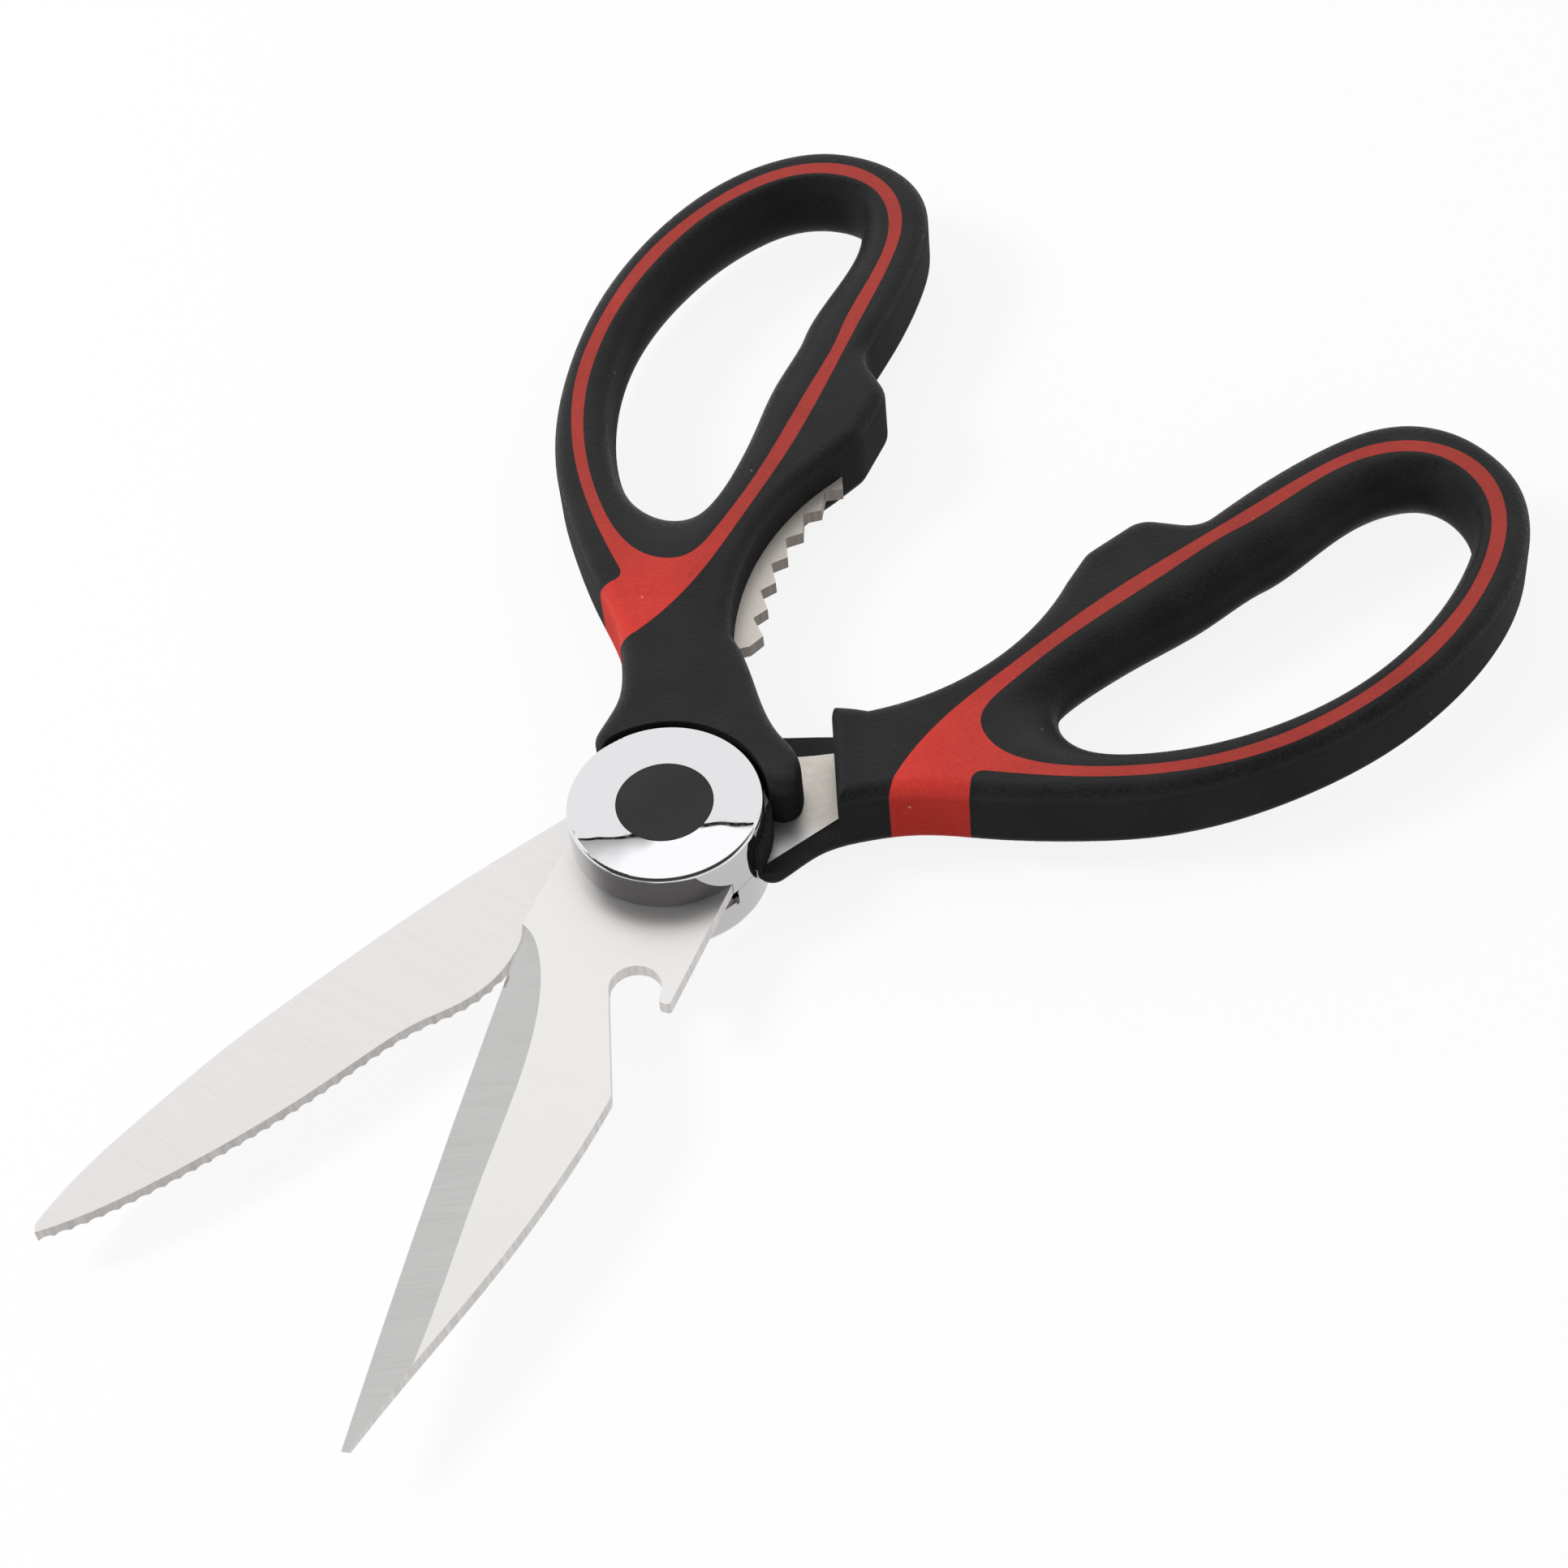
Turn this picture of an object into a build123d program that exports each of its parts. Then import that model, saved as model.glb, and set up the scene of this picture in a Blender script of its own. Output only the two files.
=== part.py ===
from build123d import *
import math
import os

# Kitchen shears with two soft handles, a bottle opener and a nutcracker.
# Origin: on the pivot axis, level with the resting face of the lower cap.
# The handles point along +Y, the blades along -Y, the pivot axis is +Z.
# Each half is drawn closed and stands turned by half_opening.

# Opening and overall reach
half_opening = 15.6
blade_reach = 91.6
handle_reach = 119.1
handle_span = 46.1

# Heights
blade_thickness = 2.0
cap_height = 5.2
handle_thickness = 10.7
blade_gap = 0.06
collar_gap = 0.15
overrun = 3.0

# Caps and the discs set in them
cap_radius = 12.3
cap_wall = 1.1
upper_cap_round = 0.5
lower_cap_round = 1.2
tongue_offset = 3.65
tongue_width = 3.7
tongue_fit = 0.05
relief_width = 0.5
disc_radius = 6.1
disc_fit = 0.04
clip_width = 0.7
clip_thickness = 0.6

# Pivot inside the caps
head_radius = 5.4
head_thickness = 1.8
barrel_radius = 3.5
running_fit = 0.05
screw_radius = 2.0
screw_length = 7.5
slot_width = 1.4
slot_depth = 0.9
spring_room = 0.6
spring_thickness = 0.35
spring_width = 1.4
spring_fit = 0.2

# Blades
ricasso_half_width = 11.0
edge_land = 0.3
lower_bevel_width = 0.1
scallop_pitch = 2.0
scallop_radius = 1.6
scallop_depth = 0.35
scallop_lip = 0.3
scallop_count = 32
corner_round = 1.8
hook_round = 0.5

# Nutcracker teeth on the tang
tooth_arc_radius = 42.7
tooth_waist = 3.36
tooth_middle_share = 0.394
tooth_depth = 1.65
tooth_round = 0.35
tooth_pitch = 4.68
tooth_count = 7
tooth_slope_share = 0.63

# Handles
groove_gap = 0.7
edge_round = 2.2
bumper_round = 4.5
tip_round = 2.4
wall_round = 1.3
collar_end = 6.8
collar_end_inner = 5.5
collar_wall = 0.8
collar_step = 2.1
tail_end = 1.2
skin_face = 1.6
wall_distance = 21.3
wall_turn = 33.9
wall_corner_round = 2.0
side_gap = 0.4
ledge_share = 0.12

# Levels above the resting face
meeting_level = cap_height + blade_thickness
top_level = meeting_level + blade_thickness + cap_height
handle_bottom = top_level - handle_thickness


def turned_plane(side):
    """Plane of a half at the level where the blades meet; side 1 is the upper half, -1 the lower."""
    turn = math.radians(half_opening)
    return Plane(
        origin=(0, 0, meeting_level),
        x_dir=(side * math.cos(turn), math.sin(turn), 0),
        z_dir=(0, 0, side),
    )


def wall_section(half):
    """Plane square to the wall of the thick part: X leads away from the pivot, Y rises with the half."""
    turn = math.radians(wall_turn)
    along = half.x_dir * math.cos(turn) + half.y_dir * math.sin(turn)
    away = half.y_dir * math.cos(turn) - half.x_dir * math.sin(turn)
    return Plane(origin=half.origin, x_dir=away, z_dir=along)


def scaled(shares, width, length):
    """Points of an outline from its shares of a width and a length."""
    return [(x * width, y * length) for x, y in shares]


# Outlines of one handle, in shares of handle_span and handle_reach
skin_outline_shares = (
    (-0.283, 0.080), (-0.282, 0.120), (-0.319, 0.162), (-0.396, 0.212), (-0.530, 0.267),
    (-0.678, 0.332), (-0.806, 0.401), (-0.897, 0.476), (-0.954, 0.556), (-0.986, 0.663),
    (-0.975, 0.738), (-0.929, 0.821), (-0.835, 0.903), (-0.694, 0.965), (-0.583, 0.989),
    (-0.464, 0.996), (-0.338, 0.988), (-0.225, 0.959), (-0.158, 0.914), (-0.128, 0.856),
    (-0.119, 0.781), (-0.132, 0.680),
)
bumper_shares = ((-0.132, 0.680), (-0.004, 0.636), (-0.009, 0.559), (-0.056, 0.517))
jaw_recess_shares = ((-0.056, 0.517), (-0.148, 0.386), (-0.075, 0.243))
neck_shares = ((-0.075, 0.243), (0.008, 0.212), (0.100, 0.167), (0.221, 0.126))
horn_shares = ((0.221, 0.126), (0.293, 0.096))
horn_end_share = 0.304
stripe_outer_shares = (
    (-0.461, 0.283), (-0.525, 0.307), (-0.680, 0.373), (-0.828, 0.463), (-0.906, 0.546),
    (-0.936, 0.647), (-0.914, 0.756), (-0.845, 0.839), (-0.748, 0.906), (-0.616, 0.953),
    (-0.466, 0.969), (-0.321, 0.949), (-0.233, 0.905), (-0.194, 0.831), (-0.188, 0.722),
    (-0.182, 0.596), (-0.187, 0.504), (-0.212, 0.395), (-0.241, 0.302), (-0.321, 0.206),
)
patch_side_shares = (
    (-0.321, 0.206), (-0.348, 0.191), (-0.416, 0.160), (-0.571, 0.220), (-0.463, 0.264),
)
patch_corner_shares = (
    (-0.463, 0.264), (-0.4535, 0.2695), (-0.4515, 0.2740), (-0.4540, 0.2785), (-0.461, 0.283),
)
core_block_shares = (
    (-0.304, 0.235), (-0.119, 0.243), (-0.195, 0.386), (-0.113, 0.521), (-0.065, 0.563),
    (-0.065, 0.630), (-0.161, 0.672), (-0.210, 0.672), (-0.210, 0.450), (-0.260, 0.330),
)
stripe_inner_shares = (
    (-0.227, 0.705), (-0.229, 0.819), (-0.269, 0.897), (-0.360, 0.939), (-0.488, 0.950),
    (-0.628, 0.930), (-0.727, 0.890), (-0.808, 0.835), (-0.868, 0.760), (-0.898, 0.663),
    (-0.875, 0.563), (-0.810, 0.481), (-0.713, 0.413), (-0.600, 0.358), (-0.504, 0.326),
    (-0.406, 0.312), (-0.317, 0.321), (-0.264, 0.374), (-0.241, 0.445), (-0.231, 0.521),
    (-0.227, 0.605),
)
bore_waist_shares = (
    (-0.357, 0.706), (-0.338, 0.819), (-0.360, 0.893), (-0.424, 0.928), (-0.520, 0.929),
    (-0.626, 0.908), (-0.697, 0.871), (-0.758, 0.821), (-0.811, 0.755), (-0.836, 0.669),
    (-0.805, 0.574), (-0.730, 0.491), (-0.645, 0.434), (-0.573, 0.405), (-0.505, 0.394),
    (-0.434, 0.394), (-0.377, 0.407), (-0.347, 0.434), (-0.338, 0.483), (-0.346, 0.546),
    (-0.361, 0.621),
)
bore_level_shares = (0.0, 0.35, 0.65, 0.87, 0.97, 1.0)

# Outlines of the blades, in shares of ricasso_half_width and blade_reach
upper_edge_shares = ((-1.000, -0.224), (-0.530, -0.606), (0.018, -1.000))
upper_spine_shares = ((0.110, -0.997), (0.310, -0.879), (0.618, -0.710), (0.818, -0.551), (0.891, -0.428))
opener_foot_shares = ((0.282, -0.275), (0.545, -0.224), (0.827, -0.247))
opener_hook_shares = ((0.827, -0.247), (0.864, -0.270), (1.000, -0.270), (1.000, 0.055))
ridge_shares = (
    (-1.000, -0.215), (-0.864, -0.224), (-0.660, -0.251), (-0.409, -0.311), (-0.164, -0.426),
    (0.018, -0.600), (0.218, -0.764), (0.330, -0.878), (0.400, -1.000),
)
lower_spine_shares = (
    (1.000, -0.218), (0.964, -0.349), (0.891, -0.469), (0.818, -0.568), (0.709, -0.677),
    (0.545, -0.786), (0.382, -0.879), (0.218, -0.944), (0.055, -0.993),
)
lower_edge_shares = (
    (-0.036, -1.000), (-0.173, -0.939), (-0.264, -0.873), (-0.318, -0.808), (-0.355, -0.742),
    (-0.373, -0.677), (-0.355, -0.568), (-0.318, -0.480), (-0.340, -0.430), (-0.395, -0.393),
    (-0.415, -0.358), (-0.380, -0.322), (-0.264, -0.284),
)
heel_shares = ((-0.264, -0.284), (-0.182, -0.253), (-0.250, -0.218), (-0.520, -0.186), (-0.870, -0.164), (-1.000, -0.136))
tang_inner_shares = ((1.000, 0.046), (0.764, 0.101), (0.255, 0.144), (-0.127, 0.190), (-0.400, 0.245))
tang_end_shares = ((-0.250, 0.541), (-0.890, 0.541), (-0.890, 0.336), (-1.000, 0.260))


def tooth_points():
    """Saw-tooth edge of the tang, from the tooth nearest the pivot to the last one."""
    centre_x = tooth_arc_radius - tooth_waist
    middle_y = tooth_middle_share * handle_reach
    step = tooth_pitch / tooth_arc_radius
    first = -step * (tooth_count - 1) / 2
    points = []
    for number in range(tooth_count):
        tip = first + number * step
        valley = tip - step * (1 - tooth_slope_share)
        for angle, radius in ((valley, tooth_arc_radius + tooth_depth), (tip, tooth_arc_radius)):
            points.append((centre_x - radius * math.cos(angle), middle_y + radius * math.sin(angle)))
    return points


def tang_lines(start, finish):
    """Lines of the tang from the ricasso round the nutcracker teeth and back to the other side."""
    inner = scaled(tang_inner_shares, ricasso_half_width, handle_reach)
    end = scaled(tang_end_shares, ricasso_half_width, handle_reach)
    Line(start, inner[0])
    Spline(*inner)
    Polyline(inner[-1], *tooth_points(), *end, finish)


def blade_sketch(side):
    """Flat outline of one blade with its tang and pivot hole."""
    with BuildSketch() as outline:
        with BuildLine():
            if side > 0:
                edge = scaled(upper_edge_shares, ricasso_half_width, blade_reach)
                spine = scaled(upper_spine_shares, ricasso_half_width, blade_reach)
                foot = scaled(opener_foot_shares, ricasso_half_width, blade_reach)
                hook = scaled(opener_hook_shares, ricasso_half_width, blade_reach)
                ThreePointArc(*edge)
                Line(edge[-1], spine[0])
                Spline(*spine)
                Line(spine[-1], foot[0])
                ThreePointArc(*foot)
                Polyline(*hook)
                tang_lines(hook[-1], edge[0])
            else:
                spine = scaled(lower_spine_shares, ricasso_half_width, blade_reach)
                edge = scaled(lower_edge_shares, ricasso_half_width, blade_reach)
                heel = scaled(heel_shares, ricasso_half_width, blade_reach)
                Spline(*spine)
                Line(spine[-1], edge[0])
                Spline(*edge)
                Spline(*heel)
                tang_lines(spine[0], heel[-1])
        make_face()
        for valley in tooth_points()[0::2]:
            fillet(outline.vertices().sort_by_distance(valley)[0], radius=tooth_round)
        if side > 0:
            fillet(outline.vertices().sort_by_distance(spine[-1])[0], radius=corner_round)
            for corner in hook[1:3]:
                fillet(outline.vertices().sort_by_distance(corner)[0], radius=hook_round)
        Circle(barrel_radius + running_fit, mode=Mode.SUBTRACT)
    return outline.sketch


def bevel_sketch(side, shift):
    """Stock ground off at one level of the bevel: shift is 0 at the cutting edge and 1 on the ridge."""
    if side > 0:
        edge = scaled(upper_edge_shares, ricasso_half_width, blade_reach)
        ridge = scaled(ridge_shares, ricasso_half_width, blade_reach)
    else:
        edge = scaled(lower_edge_shares, ricasso_half_width, blade_reach)
        ridge = [(x + lower_bevel_width, y) for x, y in edge]
    with BuildSketch() as ground:
        with BuildLine():
            if side > 0 and shift == 0:
                run = ThreePointArc(*edge)
            else:
                run = Spline(*(ridge if shift else edge))
            far = -2 * ricasso_half_width
            Polyline(run @ 1, (far, (run @ 1).Y), (far, (run @ 0).Y), run @ 0)
        make_face()
    return ground.sketch


def scallop_sketch():
    """Row of shallow scallops along the edge of the lower blade."""
    edge = scaled(lower_edge_shares, ricasso_half_width, blade_reach)
    with BuildLine():
        run = Spline(*edge)
    with BuildSketch() as row:
        for number in range(scallop_count):
            at = (number + 0.5) * scallop_pitch / run.length
            point = run @ at
            inward = (run % at).rotate(Axis.Z, -90)
            with Locations(point - inward * (scallop_radius - scallop_depth)):
                Circle(scallop_radius)
    return row.sketch


def skin_sketch():
    """Widest outline of one handle with its collar, before the cap groove is cut."""
    skin = scaled(skin_outline_shares, handle_span, handle_reach)
    skin = [(skin[0][0], collar_end_inner), *skin]
    bumper = scaled(bumper_shares, handle_span, handle_reach)
    recess = scaled(jaw_recess_shares, handle_span, handle_reach)
    neck = scaled(neck_shares, handle_span, handle_reach)
    horn = [*scaled(horn_shares, handle_span, handle_reach), (horn_end_share * handle_span, collar_end)]
    with BuildSketch() as outline:
        with BuildLine():
            Spline(*skin)
            Polyline(*bumper)
            ThreePointArc(*recess)
            Spline(*neck)
            ThreePointArc(*horn)
            Line(horn[-1], skin[0])
        make_face()
        for corner in bumper[:3]:
            fillet(outline.vertices().sort_by_distance(corner)[0], radius=bumper_round)
        for tip in (skin[0], horn[-1]):
            fillet(outline.vertices().sort_by_distance(tip)[0], radius=tip_round)
    return outline.sketch


def stripe_sketch():
    """Everything inside the outer border of the stripe, with the patch that wraps over the side."""
    with BuildSketch() as outline:
        with BuildLine():
            Spline(*scaled(stripe_outer_shares, handle_span, handle_reach))
            Polyline(*scaled(patch_side_shares, handle_span, handle_reach))
            Spline(*scaled(patch_corner_shares, handle_span, handle_reach))
        make_face()
    return outline.sketch


def ring_sketch(shares):
    """Closed smooth outline through scaled points."""
    with BuildSketch() as outline:
        with BuildLine():
            Spline(*scaled(shares, handle_span, handle_reach), periodic=True)
        make_face()
    return outline.sketch


def bore_shares(level):
    """Outline of the finger hole at a level: 0 at its waist, 1 at a face of the handle."""
    spread = (1 - ledge_share) * (1 - math.sqrt(1 - level * level))
    return [
        (waist_x + spread * (rim_x - waist_x), waist_y + spread * (rim_y - waist_y))
        for (waist_x, waist_y), (rim_x, rim_y) in zip(bore_waist_shares, stripe_inner_shares)
    ]


def wall_corner_sketch():
    """Sliver that rounds the upright corner between the wall of the thick part and the neck."""
    turn = math.radians(wall_turn)
    away = Vector(-math.sin(turn), math.cos(turn))
    with BuildLine():
        neck = Spline(*scaled(neck_shares, handle_span, handle_reach))
    low, high = 0.0, 1.0
    for _ in range(40):
        share = (low + high) / 2
        if (neck @ share).dot(away) > wall_distance:
            low = share
        else:
            high = share
    corner = neck @ share
    into_wall = Vector(-math.cos(turn), -math.sin(turn))
    along_neck = -(neck % share)
    between = into_wall.dot(along_neck)
    reach = wall_corner_round * math.sqrt((1 + between) / (1 - between))
    middle = corner + (into_wall + along_neck).normalized() * math.hypot(reach, wall_corner_round)
    wall_foot = corner + into_wall * reach
    neck_foot = corner + along_neck * reach
    beyond_wall = wall_foot - middle
    beyond_neck = neck_foot - middle
    with BuildSketch() as sliver:
        with BuildLine():
            Polyline(
                middle,
                wall_foot,
                wall_foot + beyond_wall,
                corner + beyond_wall + beyond_neck,
                neck_foot + beyond_neck,
                neck_foot,
                close=True,
            )
        make_face()
        with Locations(middle):
            Circle(wall_corner_round, mode=Mode.SUBTRACT)
    return sliver.sketch


os.makedirs("parts", exist_ok=True)

for side, name in ((1, "upper"), (-1, "lower")):
    half = turned_plane(side)
    own_face = top_level - meeting_level if side > 0 else meeting_level - handle_bottom
    far_face = handle_thickness - own_face
    middle = (own_face - far_face) / 2
    below = half.offset(-far_face - overrun)
    through = handle_thickness + 2 * overrun

    # Blade and tang, one stamping
    with BuildPart() as blade:
        with BuildSketch(half.offset(blade_gap / 2)):
            add(blade_sketch(side))
        extrude(amount=blade_thickness - blade_gap / 2)
        for level, shift in ((edge_land, 0), (blade_thickness, 1)):
            with BuildSketch(half.offset(level)):
                add(bevel_sketch(side, shift))
        loft(ruled=True, mode=Mode.SUBTRACT)
        if side < 0:
            with BuildSketch(half.offset(scallop_lip)):
                add(scallop_sketch())
            extrude(amount=blade_thickness, mode=Mode.SUBTRACT)
    blade.part.label = name + "_blade"
    export_step(blade.part, "parts/" + name + "_blade.step")

    # Moulded envelope that the core and the grips divide between them
    with BuildPart() as envelope:
        with BuildSketch(half.offset(-far_face)):
            add(skin_sketch())
        extrude(amount=handle_thickness)
        levels = envelope.edges().group_by(Axis.Z)
        fillet(levels[0] + levels[-1], radius=edge_round)
        for direction in (1, -1):
            for level in bore_level_shares:
                with BuildSketch(half.offset(middle + direction * level * handle_thickness / 2)):
                    add(ring_sketch(bore_shares(level)))
            loft(mode=Mode.SUBTRACT)
        with BuildSketch(half.offset(blade_thickness)):
            Circle(cap_radius + groove_gap)
        extrude(amount=through, mode=Mode.SUBTRACT)
        with BuildSketch(below):
            with Locations((-side_gap, 0)):
                Rectangle(handle_span, 2 * handle_reach, align=(Align.MIN, Align.CENTER))
            with Locations(Location((0, 0, 0), (0, 0, wall_turn))):
                with Locations((0, wall_distance)):
                    Rectangle(2 * handle_reach, handle_reach, align=(Align.CENTER, Align.MAX))
            add(wall_corner_sketch())
        extrude(amount=far_face + overrun + collar_gap, mode=Mode.SUBTRACT)
        with BuildSketch(wall_section(half)):
            with Locations((wall_distance + wall_round, wall_round - far_face)):
                Rectangle(wall_round + overrun, wall_round + overrun, align=(Align.MAX, Align.MAX))
                Circle(wall_round, mode=Mode.SUBTRACT)
        extrude(amount=handle_span, both=True, mode=Mode.SUBTRACT)
        add(blade.part, mode=Mode.SUBTRACT)

    # Rigid core, seen as the coloured stripe and the patch on the side
    with BuildPart() as core:
        add(envelope.part)
        with BuildSketch(below):
            add(stripe_sketch())
            add(ring_sketch(stripe_inner_shares), mode=Mode.SUBTRACT)
        extrude(amount=through, mode=Mode.INTERSECT)
        with BuildSketch(half.offset(skin_face - far_face)):
            Polygon(*scaled(core_block_shares, handle_span, handle_reach), align=None)
        extrude(amount=handle_thickness - 2 * skin_face)
        add(blade.part, mode=Mode.SUBTRACT)
    core.part.label = name + "_handle_core"
    export_step(core.part, "parts/" + name + "_handle_core.step")

    # Soft lining of the finger hole
    with BuildPart() as inner_grip:
        add(envelope.part)
        with BuildSketch(below):
            add(ring_sketch(stripe_inner_shares))
        extrude(amount=through, mode=Mode.INTERSECT)
    inner_grip.part.label = name + "_inner_grip"
    export_step(inner_grip.part, "parts/" + name + "_inner_grip.step")

    # Soft outer skin with the bumper, the neck and the collar round the cap
    with BuildPart() as outer_grip:
        add(envelope.part)
        with BuildSketch(below):
            add(ring_sketch(stripe_inner_shares))
        extrude(amount=through, mode=Mode.SUBTRACT)
        add(core.part, mode=Mode.SUBTRACT)
        for level, height, inside in (
            (collar_gap, blade_thickness - collar_gap, 0),
            (blade_thickness, min(collar_step, own_face - blade_thickness), cap_radius + disc_fit),
        ):
            with BuildSketch(half.offset(level)):
                Circle(cap_radius + collar_wall)
                if inside:
                    Circle(inside, mode=Mode.SUBTRACT)
                with Locations((ricasso_half_width, -tail_end)):
                    Rectangle(
                        cap_radius,
                        tail_end + collar_end + tip_round,
                        align=(Align.MIN, Align.MIN),
                        mode=Mode.INTERSECT,
                    )
            extrude(amount=height)
    outer_grip.part.label = name + "_outer_grip"
    export_step(outer_grip.part, "parts/" + name + "_outer_grip.step")

    # Polished cap with two tongues over the flat edges of its blade
    with BuildPart() as cap:
        with BuildSketch(half.offset(blade_thickness)):
            Circle(cap_radius)
        extrude(amount=cap_height)
        outside = cap.faces().sort_by(Axis.Z)[-1 if side > 0 else 0]
        fillet(outside.edges(), radius=upper_cap_round if side > 0 else lower_cap_round)
        with BuildSketch(half.offset(blade_thickness)):
            Circle(cap_radius - cap_wall)
        extrude(amount=cap_height - cap_wall, mode=Mode.SUBTRACT)
        with BuildSketch(half.offset(blade_thickness)):
            Circle(disc_radius + disc_fit)
        extrude(amount=cap_height, mode=Mode.SUBTRACT)
        with BuildSketch(half.offset(blade_gap / 2)):
            for direction in (1, -1):
                with Locations((direction * cap_radius, -direction * tongue_offset)):
                    Rectangle(2 * (cap_radius - ricasso_half_width - tongue_fit), tongue_width)
            Circle(cap_radius, mode=Mode.INTERSECT)
        extrude(amount=blade_thickness - blade_gap / 2)
        with BuildSketch(half.offset(blade_thickness)):
            for direction in (1, -1):
                for step in (1, -1):
                    beside = tongue_offset + step * (tongue_width + relief_width) / 2
                    with Locations((direction * cap_radius, -direction * beside)):
                        Rectangle(2 * (cap_radius - ricasso_half_width), relief_width)
        extrude(amount=relief_width, mode=Mode.SUBTRACT)
    cap.part.label = name + "_cap"
    export_step(cap.part, "parts/" + name + "_cap.step")

    # Disc clipped into the middle of the cap
    with BuildPart() as disc:
        with BuildSketch(half.offset(blade_thickness + cap_height)):
            Circle(disc_radius)
        extrude(amount=-cap_wall)
        with BuildSketch(half.offset(blade_thickness + cap_height - cap_wall)):
            Circle(disc_radius + clip_width)
        extrude(amount=-clip_thickness)
    disc.part.label = name + "_cap_disc"
    export_step(disc.part, "parts/" + name + "_cap_disc.step")

# Sleeve nut: its head lies under the lower blade, its barrel carries both blades
head_level = meeting_level + blade_thickness + spring_room
with BuildPart() as pivot_nut:
    with BuildSketch(Plane.XY.offset(cap_height - head_thickness)):
        Circle(head_radius)
    extrude(amount=head_thickness)
    with BuildSketch(Plane.XY.offset(cap_height)):
        Circle(barrel_radius)
    extrude(amount=head_level - cap_height)
    with BuildSketch(Plane.XY):
        Circle(screw_radius + disc_fit)
    extrude(amount=head_level, mode=Mode.SUBTRACT)
pivot_nut.part.label = "pivot_nut"
export_step(pivot_nut.part, "parts/pivot_nut.step")

# Screw with a slotted head, tight against the end of the barrel
with BuildPart() as pivot_screw:
    with BuildSketch(Plane.XY.offset(head_level)):
        Circle(head_radius)
    extrude(amount=head_thickness)
    with BuildSketch(Plane.XY.offset(head_level)):
        Circle(screw_radius)
    extrude(amount=-screw_length)
    with BuildSketch(Plane.XY.offset(head_level + head_thickness)):
        Rectangle(2 * head_radius + overrun, slot_width)
    extrude(amount=-slot_depth, mode=Mode.SUBTRACT)
pivot_screw.part.label = "pivot_screw"
export_step(pivot_screw.part, "parts/pivot_screw.step")

# Dished spring washer between the screw head and the upper blade
spring_inside = barrel_radius + spring_fit
spring_floor = meeting_level + blade_thickness + blade_gap
with BuildPart() as spring_washer:
    with BuildSketch(Plane.XZ):
        with BuildLine():
            Polyline(
                (spring_inside, head_level - spring_thickness),
                (spring_inside + spring_width, spring_floor),
                (spring_inside + spring_width, spring_floor + spring_thickness),
                (spring_inside, head_level),
                close=True,
            )
        make_face()
    revolve(axis=Axis.Z)
spring_washer.part.label = "spring_washer"
export_step(spring_washer.part, "parts/spring_washer.step")
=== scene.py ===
import math

import bmesh
import bpy
from mathutils import Matrix, Vector

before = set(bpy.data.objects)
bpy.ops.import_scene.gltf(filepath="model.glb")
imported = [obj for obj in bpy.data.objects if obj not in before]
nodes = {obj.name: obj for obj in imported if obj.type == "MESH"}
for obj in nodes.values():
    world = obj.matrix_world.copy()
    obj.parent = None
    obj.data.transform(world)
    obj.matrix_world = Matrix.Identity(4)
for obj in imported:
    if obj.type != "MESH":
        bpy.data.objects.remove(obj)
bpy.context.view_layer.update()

# Camera
# Stands in front of the blades and to the right, looking down at the open shears
# at the photograph's angle, through a short telephoto lens.
camera_data = bpy.data.cameras.new("camera")
camera_data.lens = 83.2
camera_data.sensor_width = 36.0
camera_data.clip_start = 0.01
camera_data.clip_end = 20.0
camera = bpy.data.objects.new("camera", camera_data)
camera_right = Vector((0.78365, 0.61700, -0.07216))
camera_up = Vector((-0.44760, 0.64137, 0.62314))
camera_back = Vector((0.43076, -0.45603, 0.77877))
camera_place = (0.20383, -0.19400, 0.36406)
camera_turn = Matrix((camera_right, camera_up, camera_back)).transposed().to_4x4()
camera.matrix_world = Matrix.Translation(camera_place) @ camera_turn
bpy.context.collection.objects.link(camera)
bpy.context.scene.camera = camera
bpy.context.scene.view_settings.view_transform = "Standard"

# Table
# A white sheet under the shears. It shows as white, keeps a faint soft shadow,
# and is a mid grey where it only throws light back on to the handles.
table_half = 6.0
table_shadow_share = 0.13
table_white = (1, 1, 1, 1)
table_bounce = (0.55, 0.55, 0.55, 1)


def shader_node(tree, kind, inputs=None, **settings):
    """Adds a node with its settings and the values of its inputs."""
    node = tree.nodes.new(kind)
    for name, value in settings.items():
        setattr(node, name, value)
    for name, value in (inputs or {}).items():
        node.inputs[name].default_value = value
    return node


def wire(tree, *pairs):
    """Links each pair of an output and an input."""
    for start, end in pairs:
        tree.links.new(start, end)


def seen_directly(tree):
    """A value that is 1 for what the camera, a mirror or glass shows, and 0 for light on the object."""
    path = shader_node(tree, "ShaderNodeLightPath")
    mirror = shader_node(tree, "ShaderNodeMath", operation="MAXIMUM")
    glass = shader_node(tree, "ShaderNodeMath", operation="MAXIMUM")
    wire(
        tree,
        (path.outputs["Is Camera Ray"], mirror.inputs[0]),
        (path.outputs["Is Glossy Ray"], mirror.inputs[1]),
        (mirror.outputs[0], glass.inputs[0]),
        (path.outputs["Is Transmission Ray"], glass.inputs[1]),
    )
    return glass.outputs[0]


def sheet(name, steps, shape):
    """A staging sheet: a grid whose points, from -1 to 1 both ways, are put in place by shape."""
    grid = bmesh.new()
    bmesh.ops.create_grid(grid, x_segments=1, y_segments=steps, size=1.0)
    for point in grid.verts:
        point.co = shape(point.co.x, point.co.y)
    mesh = bpy.data.meshes.new(name)
    grid.to_mesh(mesh)
    grid.free()
    made = bpy.data.objects.new(name, mesh)
    bpy.context.collection.objects.link(made)
    mat = bpy.data.materials.new(name)
    mat.use_nodes = True
    mat.node_tree.nodes.clear()
    mesh.materials.append(mat)
    return made, mat.node_tree


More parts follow.
